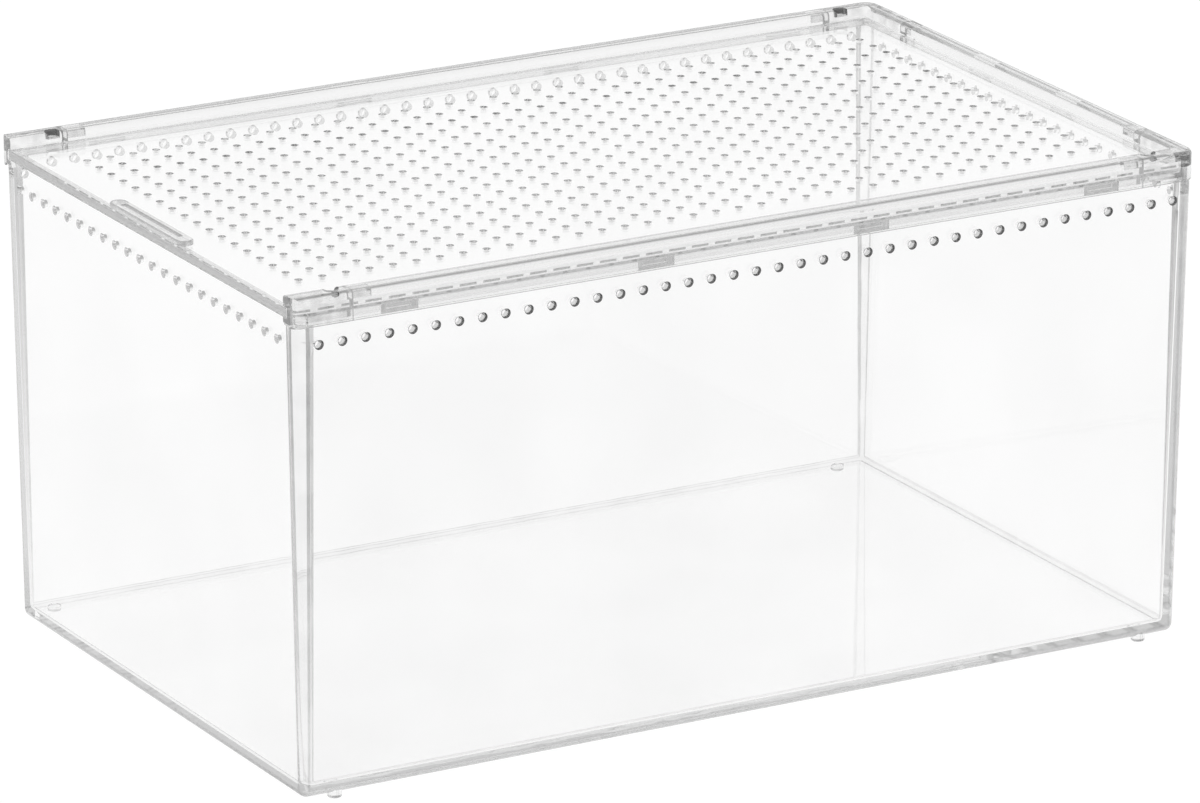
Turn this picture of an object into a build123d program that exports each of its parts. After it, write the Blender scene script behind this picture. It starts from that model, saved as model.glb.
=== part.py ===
from build123d import *
from math import floor, radians, tan
import os

# Clear insect terrarium: a moulded tub with rows of vent holes, a rail frame that is
# clipped on its rim, and a perforated lid that slides out of the frame to the left.
# X runs from left to right, Y from the front to the rear and Z up.
# The origin is the middle of the footprint, on the surface that the pegs stand on.

# Overall size
frame_length = 301.4
frame_width = 187.4
overall_height = 152.8

# Tub
wall_thickness = 3.0
floor_thickness = 3.0
draft_angle = 1.0
wall_edge_radius = 2.6
base_edge_radius = 2.5
inner_wall_radius = 1.6
inner_base_radius = 1.5
tongue_thickness = 1.6
tongue_height = 4.0
peg_diameter = 4.2
peg_height = 1.7
peg_edge_radius = 0.6
peg_from_end = 14.4
peg_from_side = 5.1

# Vent rows in the walls
vent_diameter = 2.4
vent_mouth = 3.1
vent_mouth_angle = 35.0
vent_drop = 14.6
rear_vent_drop = 12.7
long_vent_pitch = 7.5
long_vent_margin = 8.0
short_vent_pitch = 7.84
short_vent_margin = 11.0

# Rail section
rail_height = 9.0
lip_width = 6.5
end_lip_width = 5.5
lip_thickness = 3.4
flange_thickness = 1.4
skirt_thickness = 1.1
leg_thickness = 1.3
skirt_overhang = 0.3
rail_edge_radius = 1.4

# Corner blocks
corner_length = 19.0
corner_return = 26.7
corner_radius = 5.0
open_end_radius = 2.5
pocket_play = 0.2
pocket_depth = 2.0
spigot_length = 6.0
spigot_width = 3.2
spigot_height = 1.9
spigot_inset = 1.8
spigot_drop = 0.8

# Clips that lock the rails to the tongue
clip_width = 11.6
clip_height = 2.6
clip_rise = 0.8
clip_recess = 0.1
boss_width = 8.0
boss_height = 1.6
clip_from_joint = 14.7
inner_clip_share = 0.307
inner_clip_shift = 2.3
end_clip_share = 0.35

# Sliding lid and its finger grip
lid_thickness = 3.0
lid_corner_radius = 1.0
lid_hole_diameter = 2.4
lid_column_pitch = 7.6
lid_column_margin = 15.0
lid_row_pitch = 7.9
lid_row_margin = 21.0
grip_length = 47.0
grip_width = 5.4
grip_height = 1.5
grip_edge_radius = 0.5
grip_groove_radius = 1.6
grip_groove_depth = 0.5

# Clearances
lid_play = 0.2
lid_side_play = 0.3
rim_play = 0.3
tongue_play = 0.1
tongue_top_play = 0.2
spigot_play = 0.15
window_play = 0.2
boss_play = 0.1
block_play = 0.1

# Heights that follow
tub_base = peg_height
floor_top = tub_base + floor_thickness
skirt_bottom = overall_height - rail_height
lip_bottom = overall_height - lip_thickness
groove_bottom = lip_bottom - lid_thickness - 2 * lid_play
flange_bottom = groove_bottom - flange_thickness
slot_top = skirt_bottom + tongue_height + tongue_top_play
lid_bottom = groove_bottom + lid_play
left_rim_top = lid_bottom - rim_play
vent_height = overall_height - vent_drop
rear_vent_height = overall_height - rear_vent_drop
mouth_depth = (vent_mouth - vent_diameter) / tan(radians(vent_mouth_angle))

# Distances inwards from the outer face of the frame
tongue_outer = skirt_thickness + tongue_play
tongue_inner = tongue_outer + tongue_thickness
slot_width = tongue_thickness + 2 * tongue_play
leg_outer = skirt_thickness + slot_width
leg_inner = leg_outer + leg_thickness
lid_inset = leg_inner + lid_side_play

# Places that follow
half_length = frame_length / 2
half_width = frame_width / 2
rail_reach = half_length - corner_length
end_rail_reach = half_width - corner_return
peg_x = half_length - peg_from_end
peg_y = half_width - peg_from_side
lid_right = half_length - lid_inset
lid_length = half_length + lid_right
lid_width = frame_width - 2 * lid_inset
lid_middle = lid_right - lid_length / 2
draft_inset = (skirt_bottom - tub_base) * tan(radians(draft_angle))
base_length = frame_length - 2 * (skirt_overhang + draft_inset)
base_width = frame_width - 2 * (skirt_overhang + draft_inset)
floor_inset = floor_thickness * tan(radians(draft_angle)) - wall_thickness
outer_clip = rail_reach - clip_from_joint
inner_clip = outer_clip * inner_clip_share
end_clip = end_rail_reach * end_clip_share
long_clip_places = (-outer_clip, inner_clip_shift - inner_clip, inner_clip_shift + inner_clip,
                    outer_clip)
end_clip_places = (-end_clip, end_clip)

# Holes that fit in each row
long_vent_count = 1 + floor((frame_length - 2 * long_vent_margin) / long_vent_pitch)
short_vent_count = 1 + floor((frame_width - 2 * short_vent_margin) / short_vent_pitch)
lid_columns = 1 + floor((lid_length - 2 * lid_column_margin) / lid_column_pitch)
lid_rows = 1 + floor((lid_width - 2 * lid_row_margin) / lid_row_pitch)

FRONT = -1
REAR = 1
LEFT = -1
RIGHT = 1
LOW = (Align.MIN, Align.MIN)


def section_plane(side, x_low, x_high):
    """Plane square to X with its own X inwards from a long face and its own Y up"""
    if side == FRONT:
        return Plane(origin=(x_low, -half_width, 0), x_dir=(0, 1, 0), z_dir=(1, 0, 0))
    return Plane(origin=(x_high, half_width, 0), x_dir=(0, -1, 0), z_dir=(-1, 0, 0))


def end_section_plane(y_low):
    """Plane square to Y with its own X inwards from the right end and its own Y up"""
    return Plane(origin=(half_length, y_low, 0), x_dir=(-1, 0, 0), z_dir=(0, 1, 0))


def rail_section(lip):
    """Section of a rail: top lip, web, flange under the lid and skirt over the tongue"""
    with Locations((0, skirt_bottom)):
        Rectangle(lip, rail_height, align=LOW)
    with Locations((leg_inner, groove_bottom)):
        Rectangle(lip, lip_bottom - groove_bottom, align=LOW, mode=Mode.SUBTRACT)
    with Locations((skirt_thickness, skirt_bottom)):
        Rectangle(slot_width, slot_top - skirt_bottom, align=LOW, mode=Mode.SUBTRACT)
        Rectangle(lip, flange_bottom - skirt_bottom, align=LOW, mode=Mode.SUBTRACT)
    fillet(vertices().group_by(Axis.Y)[-1], radius=rail_edge_radius)


def spigot_section(play):
    """Section of the spigot that joins a corner block to a rail, or of its socket"""
    with Locations((spigot_inset - play, overall_height - spigot_drop - spigot_height - play)):
        Rectangle(spigot_width + 2 * play, spigot_height + 2 * play, align=LOW)


def corner_plan(side, outer, inner, end_inner):
    """Plan of the angle at the right end between two distances from the outer faces.
    Its corners share one centre with the rounding of the frame's corner."""
    reach_x = half_length - outer
    reach_y = half_width - outer
    hollow_x = half_length - end_inner
    hollow_y = half_width - inner
    with Locations(((rail_reach + reach_x) / 2, side * (end_rail_reach + reach_y) / 2)):
        Rectangle(reach_x - rail_reach, reach_y - end_rail_reach)
    with Locations(((rail_reach + hollow_x) / 2, side * (end_rail_reach + hollow_y) / 2)):
        Rectangle(hollow_x - rail_reach, hollow_y - end_rail_reach, mode=Mode.SUBTRACT)
    for x, y, depth in ((reach_x, reach_y, outer), (hollow_x, hollow_y, inner)):
        if depth < corner_radius:
            fillet(vertices().sort_by_distance((x, side * y))[0], radius=corner_radius - depth)


def save(piece, name):
    """Name a finished piece and write it"""
    piece.part.label = name
    export_step(piece.part, f"parts/{name}.step")


os.makedirs("parts", exist_ok=True)

# Space inside the tub, with the same draft as its walls
with BuildPart() as cavity:
    with BuildSketch(Plane.XY.offset(floor_top)):
        RectangleRounded(base_length + 2 * floor_inset, base_width + 2 * floor_inset,
                         inner_wall_radius)
    extrude(amount=skirt_bottom - floor_top, taper=-draft_angle)
    fillet(cavity.edges().group_by(Axis.Z)[0], radius=inner_base_radius)

# Tub: drafted walls and floor, a tongue round three sides of the rim and four pegs
with BuildPart() as tub:
    with BuildSketch(Plane.XY.offset(tub_base)):
        RectangleRounded(base_length, base_width, wall_edge_radius)
    extrude(amount=skirt_bottom - tub_base, taper=-draft_angle)
    fillet(tub.edges().group_by(Axis.Z)[0], radius=base_edge_radius)
    add(cavity.part, mode=Mode.SUBTRACT)

    # Tongue that stands in the slots of the rails, open at the left
    with BuildSketch(Plane.XY.offset(skirt_bottom)):
        RectangleRounded(frame_length - 2 * tongue_outer, frame_width - 2 * tongue_outer,
                         corner_radius - tongue_outer)
        RectangleRounded(frame_length - 2 * tongue_inner, frame_width - 2 * tongue_inner,
                         corner_radius - tongue_inner, mode=Mode.SUBTRACT)
        with Locations((-half_length, 0)):
            Rectangle(2 * corner_radius, frame_width, mode=Mode.SUBTRACT)
    extrude(amount=tongue_height)

    # Left rim, between the corner blocks and just under the lid
    with BuildSketch(Plane.XY.offset(skirt_bottom)):
        with Locations((-half_length + skirt_overhang + wall_thickness / 2, 0)):
            Rectangle(wall_thickness, frame_width - 2 * (lip_width + block_play))
    extrude(amount=left_rim_top - skirt_bottom)

    # Vent rows: front wall, rear wall a little higher, and both end walls
    for height, reach in ((vent_height, half_width), (rear_vent_height, -half_width)):
        with BuildSketch(Plane.XZ):
            with Locations((0, height)):
                with GridLocations(long_vent_pitch, 1, long_vent_count, 1):
                    Circle(vent_diameter / 2)
        extrude(amount=reach, mode=Mode.SUBTRACT)
    with BuildSketch(Plane.YZ):
        with Locations((0, vent_height)):
            with GridLocations(short_vent_pitch, 1, short_vent_count, 1):
                Circle(vent_diameter / 2)
    extrude(amount=half_length, both=True, mode=Mode.SUBTRACT)

    # Flared mouths of the vents, cut inwards from the outside
    for side, height in ((FRONT, vent_height), (REAR, rear_vent_height)):
        with BuildSketch(Plane(origin=(0, side * (half_width - skirt_overhang), height),
                               x_dir=(1, 0, 0), z_dir=(0, -side, 0))):
            with GridLocations(long_vent_pitch, 1, long_vent_count, 1):
                Circle(vent_mouth / 2)
        extrude(amount=mouth_depth, taper=vent_mouth_angle, mode=Mode.SUBTRACT)
    for end in (LEFT, RIGHT):
        with BuildSketch(Plane(origin=(end * (half_length - skirt_overhang), 0, vent_height),
                               x_dir=(0, 1, 0), z_dir=(-end, 0, 0))):
            with GridLocations(short_vent_pitch, 1, short_vent_count, 1):
                Circle(vent_mouth / 2)
        extrude(amount=mouth_depth, taper=vent_mouth_angle, mode=Mode.SUBTRACT)

    # Slots in the tongue for the clips
    with BuildSketch(Plane.XZ):
        with Locations(*[(x, skirt_bottom + clip_rise + clip_height / 2) for x in long_clip_places]):
            Rectangle(boss_width + 2 * boss_play, boss_height + 2 * boss_play)
    extrude(amount=half_width, both=True, mode=Mode.SUBTRACT)
    with BuildSketch(Plane.YZ):
        with Locations(*[(y, skirt_bottom + clip_rise + clip_height / 2) for y in end_clip_places]):
            Rectangle(boss_width + 2 * boss_play, boss_height + 2 * boss_play)
    extrude(amount=half_length, mode=Mode.SUBTRACT)

    # Pegs that stand on the table, or in the pockets of a box below
    with BuildSketch():
        with GridLocations(2 * peg_x, 2 * peg_y, 2, 2):
            Circle(peg_diameter / 2)
    extrude(amount=tub_base + base_edge_radius)
    fillet(tub.edges().group_by(Axis.Z)[0], radius=peg_edge_radius)
save(tub, "tub")


def long_rail(side, name):
    """Front or rear rail, between the corner blocks"""
    with BuildPart() as rail:
        with BuildSketch(section_plane(side, -rail_reach, rail_reach)):
            rail_section(lip_width)
        extrude(amount=2 * rail_reach)
        for x_low, x_high in ((-rail_reach, -rail_reach + spigot_length + window_play),
                              (rail_reach - spigot_length - window_play, rail_reach)):
            with BuildSketch(section_plane(side, x_low, x_high)):
                spigot_section(spigot_play)
            extrude(amount=x_high - x_low, mode=Mode.SUBTRACT)
        with BuildSketch(Plane.XZ.offset(-side * half_width)):
            with Locations(*[(x, skirt_bottom + clip_rise + clip_height / 2)
                             for x in long_clip_places]):
                Rectangle(clip_width + 2 * window_play, clip_height + 2 * window_play)
        extrude(amount=side * skirt_thickness, mode=Mode.SUBTRACT)
    save(rail, name)


long_rail(FRONT, "front_rail")
long_rail(REAR, "rear_rail")

# End rail, which closes the frame at the right
with BuildPart() as end_rail:
    with BuildSketch(end_section_plane(-end_rail_reach)):
        rail_section(end_lip_width)
    extrude(amount=2 * end_rail_reach)
    for y_low in (-end_rail_reach, end_rail_reach - spigot_length - window_play):
        with BuildSketch(end_section_plane(y_low)):
            spigot_section(spigot_play)
        extrude(amount=spigot_length + window_play, mode=Mode.SUBTRACT)
    with BuildSketch(Plane.YZ.offset(half_length)):
        with Locations(*[(y, skirt_bottom + clip_rise + clip_height / 2) for y in end_clip_places]):
            Rectangle(clip_width + 2 * window_play, clip_height + 2 * window_play)
    extrude(amount=-skirt_thickness, mode=Mode.SUBTRACT)
save(end_rail, "end_rail")


def left_corner(side, name):
    """Corner block at the open end, which the lid slides out of"""
    with BuildPart() as block:
        with BuildSketch(section_plane(side, -half_length, -rail_reach)):
            rail_section(lip_width)
        extrude(amount=corner_length)
        with BuildSketch(Plane.XY.offset(skirt_bottom)):
            with Locations((-half_length + skirt_thickness / 2,
                            side * (half_width - leg_outer + slot_width / 2))):
                Rectangle(skirt_thickness, slot_width)
        extrude(amount=slot_top - skirt_bottom)
        with BuildSketch(Plane.XY.offset(skirt_bottom)):
            with Locations((-half_length + corner_length / 2, side * (half_width - lip_width / 2))):
                Rectangle(corner_length, lip_width)
            fillet(vertices().sort_by_distance((-half_length, side * half_width))[0],
                   radius=open_end_radius)
        extrude(amount=rail_height, mode=Mode.INTERSECT)
        with BuildSketch(section_plane(side, -rail_reach, -rail_reach + spigot_length)):
            spigot_section(0)
        extrude(amount=spigot_length)
        with Locations((-peg_x, side * peg_y, overall_height)):
            Hole(peg_diameter / 2 + pocket_play, pocket_depth)
    save(block, name)


def right_corner(side, name):
    """Angled corner block between a long rail and the end rail"""
    beyond = lip_width + end_lip_width
    with BuildPart() as block:
        with BuildSketch(Plane.XY.offset(skirt_bottom)):
            corner_plan(side, 0, lip_width, end_lip_width)
        extrude(amount=rail_height)
        fillet(block.faces().sort_by(Axis.Z)[-1].outer_wire().edges().filter_by(
            lambda e: e.center().X > rail_reach + 0.1 and abs(e.center().Y) > end_rail_reach + 0.1),
            radius=rail_edge_radius)
        with BuildSketch(Plane.XY.offset(skirt_bottom)):
            corner_plan(side, skirt_thickness, leg_outer, leg_outer)
        extrude(amount=slot_top - skirt_bottom, mode=Mode.SUBTRACT)
        with BuildSketch(Plane.XY.offset(skirt_bottom)):
            corner_plan(side, skirt_thickness, beyond, beyond)
        extrude(amount=flange_bottom - skirt_bottom, mode=Mode.SUBTRACT)
        with BuildSketch(Plane.XY.offset(groove_bottom)):
            corner_plan(side, leg_inner, beyond, beyond)
        extrude(amount=lip_bottom - groove_bottom, mode=Mode.SUBTRACT)
        with BuildSketch(section_plane(side, rail_reach - spigot_length, rail_reach)):
            spigot_section(0)
        extrude(amount=spigot_length)
        end_y = side * end_rail_reach - (spigot_length if side == REAR else 0)
        with BuildSketch(end_section_plane(end_y)):
            spigot_section(0)
        extrude(amount=spigot_length)
        with Locations((peg_x, side * peg_y, overall_height)):
            Hole(peg_diameter / 2 + pocket_play, pocket_depth)
    save(block, name)


left_corner(FRONT, "corner_front_left")
left_corner(REAR, "corner_rear_left")
right_corner(FRONT, "corner_front_right")
right_corner(REAR, "corner_rear_right")


def clip(plane, name):
    """Clip that fills a window of the skirt, with a boss through the tongue.
    The plane lies in the outer face of the frame, and its own Z points outwards."""
    with BuildPart() as piece:
        with BuildSketch(plane.offset(-tongue_outer)):
            Rectangle(clip_width, clip_height)
        extrude(amount=tongue_outer - clip_recess)
        with BuildSketch(plane.offset(-tongue_inner)):
            Rectangle(boss_width, boss_height)
        extrude(amount=tongue_thickness)
    save(piece, name)


clip_middle = skirt_bottom + clip_rise + clip_height / 2
for number, place in enumerate(long_clip_places, 1):
    clip(Plane(origin=(place, -half_width, clip_middle), x_dir=(1, 0, 0), z_dir=(0, -1, 0)),
         f"front_clip_{number}")
    clip(Plane(origin=(place, half_width, clip_middle), x_dir=(1, 0, 0), z_dir=(0, 1, 0)),
         f"rear_clip_{number}")
for number, place in enumerate(end_clip_places, 1):
    clip(Plane(origin=(half_length, place, clip_middle), x_dir=(0, 1, 0), z_dir=(1, 0, 0)),
         f"end_clip_{number}")

# Perforated lid, which slides in the grooves of the frame
with BuildPart() as lid_plate:
    with BuildSketch(Plane.XY.offset(lid_bottom)):
        with Locations((lid_middle, 0)):
            RectangleRounded(lid_length, lid_width, lid_corner_radius)
            with GridLocations(lid_column_pitch, lid_row_pitch, lid_columns, lid_rows):
                Circle(lid_hole_diameter / 2, mode=Mode.SUBTRACT)
    extrude(amount=lid_thickness)
save(lid_plate, "lid_plate")

# Finger grip on the left edge of the lid, with a shallow groove along its top
with BuildPart() as lid_grip:
    with BuildSketch(Plane.XY.offset(lid_bottom + lid_thickness)):
        with Locations((-half_length + grip_width / 2, 0)):
            SlotOverall(grip_length, grip_width, rotation=90)
    extrude(amount=grip_height)
    fillet(lid_grip.edges().group_by(Axis.Z)[-1], radius=grip_edge_radius)
    groove_axis_height = lid_bottom + lid_thickness + grip_height + grip_groove_radius
    with BuildSketch(Plane.XZ):
        with Locations((-half_length + grip_width / 2, groove_axis_height - grip_groove_depth)):
            Circle(grip_groove_radius)
    extrude(amount=grip_length / 2 - grip_width, both=True, mode=Mode.SUBTRACT)
save(lid_grip, "lid_grip")
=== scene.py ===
import math

import bpy
from mathutils import Matrix, Vector


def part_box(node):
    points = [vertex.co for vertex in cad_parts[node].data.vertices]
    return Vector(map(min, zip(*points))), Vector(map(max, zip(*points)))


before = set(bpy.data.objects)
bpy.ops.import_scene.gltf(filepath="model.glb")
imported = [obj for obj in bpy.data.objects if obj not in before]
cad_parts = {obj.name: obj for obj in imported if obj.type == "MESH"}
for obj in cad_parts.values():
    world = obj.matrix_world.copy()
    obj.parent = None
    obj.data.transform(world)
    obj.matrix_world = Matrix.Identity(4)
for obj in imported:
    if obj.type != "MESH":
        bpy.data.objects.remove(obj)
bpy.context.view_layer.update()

# Photograph's frame and the camera that took it
image_width = 1200
image_height = 803
sensor_width = 36.0
focal_pixels = 9283.5
principal_x = 599.8
principal_y = 408.5
camera_azimuth = -29.456
camera_elevation = 18.26
camera_roll = 0.097
camera_place = Vector((-1.29514, -2.29469, 0.93903))

# Surroundings: white low down behind the box, grey overhead and on the near side
rear_direction = (0.492, 0.871, 0)
rear_share = 0.5
white_below = 0.1
grey_above = 0.5
white_strength = 1.0
grey_strength = 0.35

# Table
floor_radius = 6.0
floor_drop = 0.0001
floor_paint = (0.9, 0.9, 0.9, 1)
floor_white = 1.09
floor_near_grey = 0.8
floor_near = -0.5
floor_far = -0.05
floor_glow_share = 0.9

# Clear plastics
ior = 1.49
lamp_pass = (0.93, 0.93, 0.93, 1)
grey_depth = (0.5, 0.5, 0.5, 1)
# Painted shade: grey of the dark diffuse share laid on the faces of vents, lid holes, pockets and bosses
painted_shade_grey = 0.12
bounces = 32
trapped_after = 16
cover_seen = 3.5
glue_side = -0.5

# Noise: its stretch, its detail and the range of its values that is spread from one end to the other
even = (1, 1, 1)
wave_detail = 2
mottle_detail = 1
mottle_range = (0.35, 0.65)
wear_scale = 420
wear_detail = 3
wear_range = (0.45, 0.75)
# Streaks of painted glow on the lid's ends
glow_streak_stretch = (1, 0.04, 1)
glow_streak_scale = 900
glow_streak_detail = 2
glow_streak_range = (0.4, 0.6)

# Faces of the vents, which carry painted shade, in metres from the middle
vent_heights = (0.1382, 0.1401)
vent_reach = 0.0016
long_wall_inside = 0.0895
end_wall_inside = 0.1465
long_vents_end = 0.1455
end_vents_end = 0.086
vent_slope = 0.7
long_mouth = (0.0919, 0.0925)
end_mouth = (0.1489, 0.1495)

# Edges of the lid: its thickness, its hole columns and the painted dark dashes between them in the
# painted glow of its long edges
lid_low, lid_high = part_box("lid_plate")
lid_middle = (lid_low + lid_high) / 2
lid_edge_depth = 0.0012
lid_column_pitch = 0.0076
dash_gap = 0.28
dash_half_height = 0.0006
end_line_height = 0.0011
square_to = 0.3

# Faces that carry painted shade: rounded edges of the tub, pockets of the corner blocks and bosses of
# the clips
line_below = 0.999
round_below = 0.975
pocket_place = Vector((0.1363, 0.0886))
pocket_reach = 0.0024
pocket_floor = 0.1506
boss_outside = Vector((0.149, 0.092))


class Tree:
    """Node tree of one material or of the world"""

    def __init__(self, owner):
        owner.use_nodes = True
        self.nodes = owner.node_tree.nodes
        self.links = owner.node_tree.links
        self.nodes.clear()

    def add(self, kind, values, **settings):
        """New node. Its inputs, by name or number, take constants or other nodes' outputs."""
        node = self.nodes.new("ShaderNode" + kind)
        for key, setting in settings.items():
            setattr(node, key, setting)
        for key, value in values.items():
            if isinstance(value, bpy.types.NodeSocket):
                self.links.new(value, node.inputs[key])
            else:
                node.inputs[key].default_value = value
        return node

    def calc(self, operation, *values):
        """Output of a Math node"""
        return self.add("Math", dict(enumerate(values)), operation=operation).outputs[0]

    def along(self, place, direction):
        """Distance of a place along a direction"""
        return self.add("VectorMath", {0: place, 1: direction}, operation="DOT_PRODUCT").outputs["Value"]

    def remap(self, value, from_min, from_max, to_min, to_max, kind="LINEAR"):
        """Value carried from one range to another, and held at its ends"""
        return self.add("MapRange", {"Value": value, "From Min": from_min, "From Max": from_max,
                                     "To Min": to_min, "To Max": to_max},
                        interpolation_type=kind).outputs[0]

    def noise(self, place, stretch, scale, detail):
        """Noise in the object's own metres, stretched along its axes"""
        stretched = self.add("Mapping", {"Vector": place, "Scale": stretch}).outputs[0]
        return self.add("TexNoise", {"Vector": stretched, "Scale": scale, "Detail": detail}).outputs[0]

    def blend(self, share, first, second):
        """Mix of two shaders"""
        return self.add("MixShader", {0: share, 1: first, 2: second}).outputs[0]


def make_camera():
    """Camera at the photograph's place, with the photograph's framing"""
    data = bpy.data.cameras.new("camera")
    data.sensor_width = sensor_width
    data.lens = focal_pixels * sensor_width / image_width
    data.shift_x = (image_width / 2 - principal_x) / image_width
    data.shift_y = (principal_y - image_height / 2) / image_width
    data.clip_start = 0.1
    data.clip_end = 50
    camera = bpy.data.objects.new("camera", data)
    bpy.context.scene.collection.objects.link(camera)
    azimuth = math.radians(camera_azimuth)
    elevation = math.radians(camera_elevation)
    back = Vector((math.sin(azimuth) * math.cos(elevation),
                   -math.cos(azimuth) * math.cos(elevation), math.sin(elevation)))
    right = (-back).cross(Vector((0, 0, 1))).normalized()
    up = right.cross(-back)
    turn = Matrix((right, up, back)).transposed() @ Matrix.Rotation(math.radians(camera_roll), 3, "Z")
    camera.matrix_world = Matrix.Translation(camera_place) @ turn.to_4x4()
    bpy.context.scene.camera = camera


def glass(tree, place, finish):
    """Clear glossy shader with mottled tint, fine wear and shallow moulding waves. On rounded edges the
    darker tints are painted shade.
    """
    stretch, scale, height = finish["wave"]
    wave = tree.add("Bump", {"Strength": 1.0, "Distance": height,
                             "Height": tree.noise(place, stretch, scale, wave_detail)}).outputs[0]
    stretch, scale = finish["mottle"]
    cloud = tree.remap(tree.noise(place, stretch, scale, mottle_detail), *mottle_range, 0, 1)
    dark, light = finish["tints"]
    tint = tree.add("Mix", {0: cloud, 6: (dark, dark, dark, 1), 7: (light, light, light, 1)},
                    data_type="RGBA").outputs[2]
    smooth, rough = finish["rough"]
    wear = tree.remap(tree.noise(place, even, wear_scale, wear_detail), *wear_range, smooth, rough)
    return tree.add("BsdfPrincipled", {"Base Color": tint, "Roughness": wear, "IOR": ior,
                                       "Transmission Weight": 1.0, "Normal": wave}).outputs[0]


def shade_at_mouth(tree, place, across, deep, near, inside):
    """Share of painted shade: 1 at the mouth of a hole, and less further in"""
    return tree.remap(tree.calc("ABSOLUTE", tree.along(place, across)), deep, near, inside, 1)


def glow_with_dark_dashes(tree, place, on_dash):
    """Share of painted glow: 1 on a long edge of the lid, and less on the painted dark dashes between
    its hole columns
    """
    column = tree.calc("FRACT", tree.calc("DIVIDE", tree.along(place, (1, 0, 0)), lid_column_pitch))
    start = (lid_middle.x / lid_column_pitch) % 1
    phase = tree.calc("FRACT", tree.calc("SUBTRACT", column, start - 1))
    between = tree.calc("GREATER_THAN", tree.calc("ABSOLUTE", tree.calc("SUBTRACT", phase, 0.5)),
                        dash_gap / 2)
    height = tree.calc("SUBTRACT", tree.along(place, (0, 0, 1)), lid_middle.z)
    level = tree.calc("LESS_THAN", tree.calc("ABSOLUTE", height), dash_half_height)
    return tree.remap(tree.calc("MULTIPLY", between, level), 0, 1, 1, on_dash)


def glow_streaks(tree, place, low, high):
    """Lengthwise streaks of painted glow on an end of the lid, with a line free of glow along each of
    its edges
    """
    height = tree.calc("ABSOLUTE", tree.calc("SUBTRACT", tree.along(place, (0, 0, 1)), lid_middle.z))
    inner = tree.calc("LESS_THAN", height, end_line_height)
    glow_streak = tree.noise(place, glow_streak_stretch, glow_streak_scale, glow_streak_detail)
    glow_streak = tree.remap(glow_streak, *glow_streak_range, low, high)
    return tree.calc("MULTIPLY", inner, glow_streak)


def shade_or_glow_shader(tree, kind, grey):
    """Painted shade as a dark grey diffuse, or painted glow as a grey emission on an edge"""
    if kind == "painted_shade":
        return tree.add("BsdfDiffuse", {"Color": (grey, grey, grey, 1)}).outputs[0]
    return tree.add("Emission", {"Strength": grey}).outputs[0]


def cover_share(tree, place, side, path, cover):
    """How much of a face carries painted shade or painted glow, for light that has met few faces before
    it
    """
    share = tree.remap(side, 0, 1, cover["from_air"], cover["from_plastic"])
    if "pattern" in cover:
        pattern, *values = cover["pattern"]
        share = tree.calc("MULTIPLY", share, pattern(tree, place, *values))
    return tree.calc("MULTIPLY", share, tree.calc("LESS_THAN", path["Ray Depth"], cover_seen))


def clear_plastic(name, finish):
    """Clear moulded plastic. Light that is caught between its faces comes out as an even grey,
    a glued underside lets light straight through, and some faces carry painted shade, a dark grey
    diffuse share, or painted glow, an emission share."""
    material = bpy.data.materials.new(name)
    tree = Tree(material)
    place = tree.add("TexCoord", {}).outputs["Object"]
    geometry = tree.add("NewGeometry", {}).outputs
    path = tree.add("LightPath", {}).outputs
    shine = glass(tree, place, finish)
    # Painted shade (dark grey diffuse) and painted glow (emission) are mixed over the clear shader
    for kind in ("painted_shade", "glow"):
        if kind in finish:
            cover = finish[kind]
            share = cover_share(tree, place, geometry["Backfacing"], path, cover)
            shine = tree.blend(share, shine, shade_or_glow_shader(tree, kind, cover["grey"]))
    trapped = tree.add("Emission", {"Strength": finish["trapped"]}).outputs[0]
    late = tree.calc("GREATER_THAN", path["Ray Depth"], trapped_after)
    shine = tree.blend(late, shine, trapped)
    if "glued" in finish:
        down = tree.calc("LESS_THAN", tree.along(geometry["True Normal"], (0, 0, 1)), glue_side)
        shine = tree.blend(down, shine, tree.add("BsdfTransparent", {}).outputs[0])
    clear = tree.add("BsdfTransparent", {"Color": lamp_pass}).outputs[0]
    shine = tree.blend(path["Is Shadow Ray"], shine, clear)
    depth = tree.add("VolumeAbsorption", {"Color": grey_depth, "Density": finish["density"]})
    tree.add("OutputMaterial", {"Surface": shine, "Volume": depth.outputs[0]})
    return material


def is_long_vent(centre, normal):
    """Whether a face lies in a vent of the front or rear wall"""
    near = min(abs(centre.z - height) for height in vent_heights) < vent_reach
    return (near and abs(centre.y) > long_wall_inside and abs(normal.y) < vent_slope
            and abs(centre.x) < long_vents_end)


def is_rear_vent(centre, normal):
    """Whether a face lies in a vent of the rear wall"""
    return centre.y > 0 and is_long_vent(centre, normal)


def is_end_vent(centre, normal):
    """Whether a face lies in a vent of an end wall"""
    near = abs(centre.z - vent_heights[0]) < vent_reach
    return (near and abs(centre.x) > end_wall_inside and abs(normal.x) < vent_slope
            and abs(centre.y) < end_vents_end)


def is_round_edge(centre, normal):
    """Whether a face belongs to a rounded edge"""
    return max(abs(part) for part in normal) < round_below


def is_edge_line(centre, normal):
    """Whether a face starts a rounded edge"""
    return round_below <= max(abs(part) for part in normal) < line_below


def is_lid_hole(centre, normal):
    """Whether a face lies in a hole of the lid"""
    return (abs(normal.z) < square_to
            and lid_low.x + lid_edge_depth < centre.x < lid_high.x - lid_edge_depth
            and lid_low.y + lid_edge_depth < centre.y < lid_high.y - lid_edge_depth)


def is_lid_side(centre, normal):
    """Whether a face is a long edge of the lid"""
    return abs(normal.z) < square_to and abs(normal.y) > 1 - square_to


def is_lid_end(centre, normal):
    """Whether a face is a short edge of the lid"""
    return abs(normal.z) < square_to and abs(normal.y) <= 1 - square_to


def is_pocket(centre, normal):
    """Whether a face lies in a stacking pocket"""
    away = Vector((abs(centre.x), abs(centre.y))) - pocket_place
    return centre.z > pocket_floor and away.length < pocket_reach and abs(normal.z) < square_to


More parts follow.
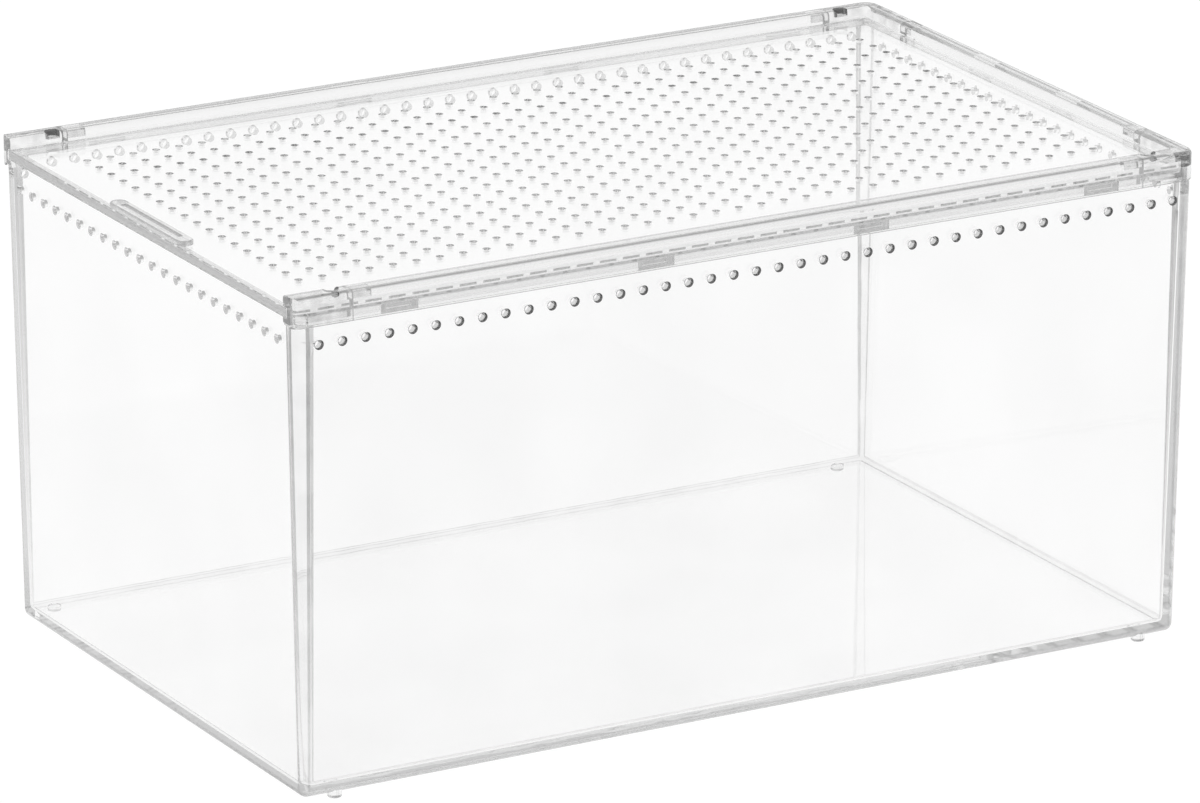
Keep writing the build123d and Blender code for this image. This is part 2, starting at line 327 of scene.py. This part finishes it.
def is_boss(centre, normal):
    """Whether a face belongs to the boss of a clip"""
    return abs(centre.x) < boss_outside.x and abs(centre.y) < boss_outside.y


def dress(node, plastic, *others):
    """Give a node its plastic, and other plastics to the faces that they belong to"""
    data = node.data
    data.materials.clear()
    data.materials.append(plastic)
    for _, other in others:
        data.materials.append(other)
    for face in data.polygons:
        for slot, (belongs, _) in enumerate(others, 1):
            if belongs(face.center, face.normal):
                face.material_index = slot
                break


def make_world():
    """White surroundings low behind the box, grey ones overhead and on the near side"""
    world = bpy.data.worlds.new("studio")
    bpy.context.scene.world = world
    tree = Tree(world)
    place = tree.add("TexCoord", {}).outputs["Generated"]
    rear = tree.along(place, rear_direction)
    share = tree.calc("MULTIPLY_ADD", rear, -rear_share, tree.along(place, (0, 0, 1)))
    strength = tree.remap(share, white_below, grey_above, white_strength, grey_strength, "SMOOTHSTEP")
    back = tree.add("Background", {"Color": (1, 1, 1, 1), "Strength": strength})
    tree.add("OutputWorld", {"Surface": back.outputs[0]})


def make_floor():
    """White table that glows to the camera and turns grey for the plastic on the near side"""
    material = bpy.data.materials.new("floor")
    tree = Tree(material)
    path = tree.add("LightPath", {}).outputs
    rear = tree.along(tree.add("TexCoord", {}).outputs["Object"], rear_direction)
    grey = tree.remap(rear, floor_near, floor_far, floor_near_grey, floor_white, "SMOOTHSTEP")
    seen = tree.add("Mix", {0: path["Is Camera Ray"], 2: grey, 3: floor_white}, data_type="FLOAT")
    paint = tree.add("BsdfDiffuse", {"Color": floor_paint}).outputs[0]
    glow = tree.add("Emission", {"Strength": seen.outputs[0]}).outputs[0]
    tree.add("OutputMaterial", {"Surface": tree.blend(floor_glow_share, paint, glow)})
    data = bpy.data.meshes.new("floor")
    r = floor_radius
    data.from_pydata([(-r, -r, 0), (r, -r, 0), (r, r, 0), (-r, r, 0)], [], [(0, 1, 2, 3)])
    data.materials.append(material)
    floor = bpy.data.objects.new("floor", data)
    floor.location.z = -floor_drop
    bpy.context.scene.collection.objects.link(floor)


scene = bpy.context.scene
scene.view_settings.view_transform = "Standard"
scene.cycles.max_bounces = bounces
scene.cycles.transmission_bounces = bounces
scene.cycles.glossy_bounces = bounces

make_camera()
make_world()
make_floor()

# Finishes, some of them with painted shade or painted glow. A wave has its stretch, scale and height,
# and a mottle its stretch and scale.
along_x = (0.02, 1, 1)
along_y = (1, 0.02, 1)
polished = (0.0, 0.02)
satin = (0.02, 0.12)

tub = {"tints": (0.965, 0.985), "mottle": (even, 22), "rough": polished,
       "wave": (even, 45, 2e-5), "density": 2.5, "trapped": 0.75}
# Painted shade in the tub's vents: dark grey diffuse, on front and end vents strongest at the outer
# mouth
long_vent_shade = {"grey": painted_shade_grey, "from_air": 0.85, "from_plastic": 0.85,
             "pattern": (shade_at_mouth, (0, 1, 0), *long_mouth, 0.0)}
rear_vent_shade = {"grey": painted_shade_grey, "from_air": 0.15, "from_plastic": 0.15}
end_vent_shade = {"grey": painted_shade_grey, "from_air": 0.06, "from_plastic": 0.02,
            "pattern": (shade_at_mouth, (1, 0, 0), *end_mouth, 0.1)}
# Painted shade on the tub's rounded edges and on the lines where they start: darker tints
tub_edge_painted_shade = {**tub, "tints": (0.9, 0.96), "mottle": (even, 120)}
tub_line_painted_shade = {**tub, "tints": (0.6, 0.75), "mottle": (even, 120)}

lid = {"tints": (0.965, 0.985), "mottle": (even, 22), "rough": polished,
       "wave": (even, 60, 1e-5), "density": 4.0, "trapped": 0.8}
# Painted shade in the lid's holes
lid_hole_shade = {"grey": painted_shade_grey, "from_air": 0.22, "from_plastic": 0.0}
# Painted glow on the lid's long edges, with painted dark dashes between the hole columns
lid_side_glow = {"grey": 1.0, "from_air": 0.8, "from_plastic": 0.0, "pattern": (glow_with_dark_dashes, 0.05)}
# Painted glow on the lid's ends, in streaks
lid_end_glow = {"grey": 0.55, "from_air": 1.0, "from_plastic": 0.0, "pattern": (glow_streaks, 0.5, 0.95)}

rail = {"tints": (0.905, 0.93), "mottle": (along_x, 60), "rough": polished,
        "wave": (even, 60, 1e-5), "density": 5.0, "trapped": 0.5}
corner = {**rail, "tints": (0.75, 0.96), "mottle": (even, 260)}
# Painted shade in the corner blocks' pockets
pocket_shade = {"grey": painted_shade_grey, "from_air": 0.6, "from_plastic": 0.5}
clip = {**rail, "tints": (0.93, 0.97), "mottle": (even, 400), "rough": satin, "wave": (even, 400, 5e-6),
        "density": 2.0, "trapped": 0.65}
# Painted shade on the bosses of the clips
boss_shade = {"grey": painted_shade_grey, "from_air": 0.06, "from_plastic": 0.03}
# Painted shade on the grip's rounded edges: a darker tint
grip_edge_painted_shade = {**lid, "trapped": 0.5, "glued": True, "tints": (0.5, 0.8), "mottle": (even, 600)}

tub_plastic = clear_plastic("tub_acrylic", tub)
# Rounded edges and edge lines with painted shade
tub_edges_painted_shade = clear_plastic("tub_edges_painted_shade", tub_edge_painted_shade)
tub_lines_painted_shade = clear_plastic("tub_lines_painted_shade", tub_line_painted_shade)
# Vents with painted shade
long_vents_painted_shade = clear_plastic("long_vents_painted_shade", {**tub, "painted_shade": long_vent_shade})
rear_vents_painted_shade = clear_plastic("rear_vents_painted_shade", {**tub, "rough": satin, "painted_shade": rear_vent_shade})
end_vents_painted_shade = clear_plastic("end_vents_painted_shade", {**tub, "rough": satin, "painted_shade": end_vent_shade})
lid_plastic = clear_plastic("lid_acrylic", lid)
# Painted shade in the lid's holes
lid_holes_painted_shade = clear_plastic("lid_holes_painted_shade", {**lid, "rough": satin, "painted_shade": lid_hole_shade})
# Painted glow on the lid's long edges
lid_sides_painted_glow = clear_plastic("lid_sides_painted_glow", {**lid, "rough": satin, "glow": lid_side_glow})
# Painted glow on the lid's ends
lid_ends_painted_glow = clear_plastic("lid_ends_painted_glow", {**lid, "trapped": 0.5, "rough": satin, "glow": lid_end_glow})
grip_plastic = clear_plastic("grip_acrylic", {**lid, "trapped": 0.5, "glued": True})
# Rounded edges of the grip with painted shade
grip_edges_painted_shade = clear_plastic("grip_edges_painted_shade", grip_edge_painted_shade)
long_rail_plastic = clear_plastic("long_rail_acrylic", rail)
end_rail_plastic = clear_plastic("end_rail_acrylic", {**rail, "mottle": (along_y, 60)})
corner_plastic = clear_plastic("corner_acrylic", corner)
# Painted shade in the pockets
pockets_painted_shade = clear_plastic("pockets_painted_shade", {**corner, "rough": satin, "painted_shade": pocket_shade})
clip_plastic = clear_plastic("clip_plastic", clip)
# Painted shade on the bosses
bosses_painted_shade = clear_plastic("bosses_painted_shade", {**clip, "painted_shade": boss_shade})

for name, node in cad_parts.items():
    if name == "tub":
        # The tub's vents and rounded edges get painted shade
        dress(node, tub_plastic, (is_rear_vent, rear_vents_painted_shade), (is_long_vent, long_vents_painted_shade),
              (is_end_vent, end_vents_painted_shade),
              (is_edge_line, tub_lines_painted_shade), (is_round_edge, tub_edges_painted_shade))
    elif name == "lid_plate":
        # The lid's holes get painted shade and its edges painted glow
        dress(node, lid_plastic, (is_lid_hole, lid_holes_painted_shade), (is_lid_side, lid_sides_painted_glow),
              (is_lid_end, lid_ends_painted_glow))
    elif name == "lid_grip":
        # The grip's rounded edges get painted shade
        dress(node, grip_plastic, (is_round_edge, grip_edges_painted_shade))
    elif "clip" in name:
        # The clips' bosses get painted shade
        dress(node, clip_plastic, (is_boss, bosses_painted_shade))
    elif "corner" in name:
        # The corner blocks' pockets get painted shade
        dress(node, corner_plastic, (is_pocket, pockets_painted_shade))
    elif name == "end_rail":
        dress(node, end_rail_plastic)
    else:
        dress(node, long_rail_plastic)
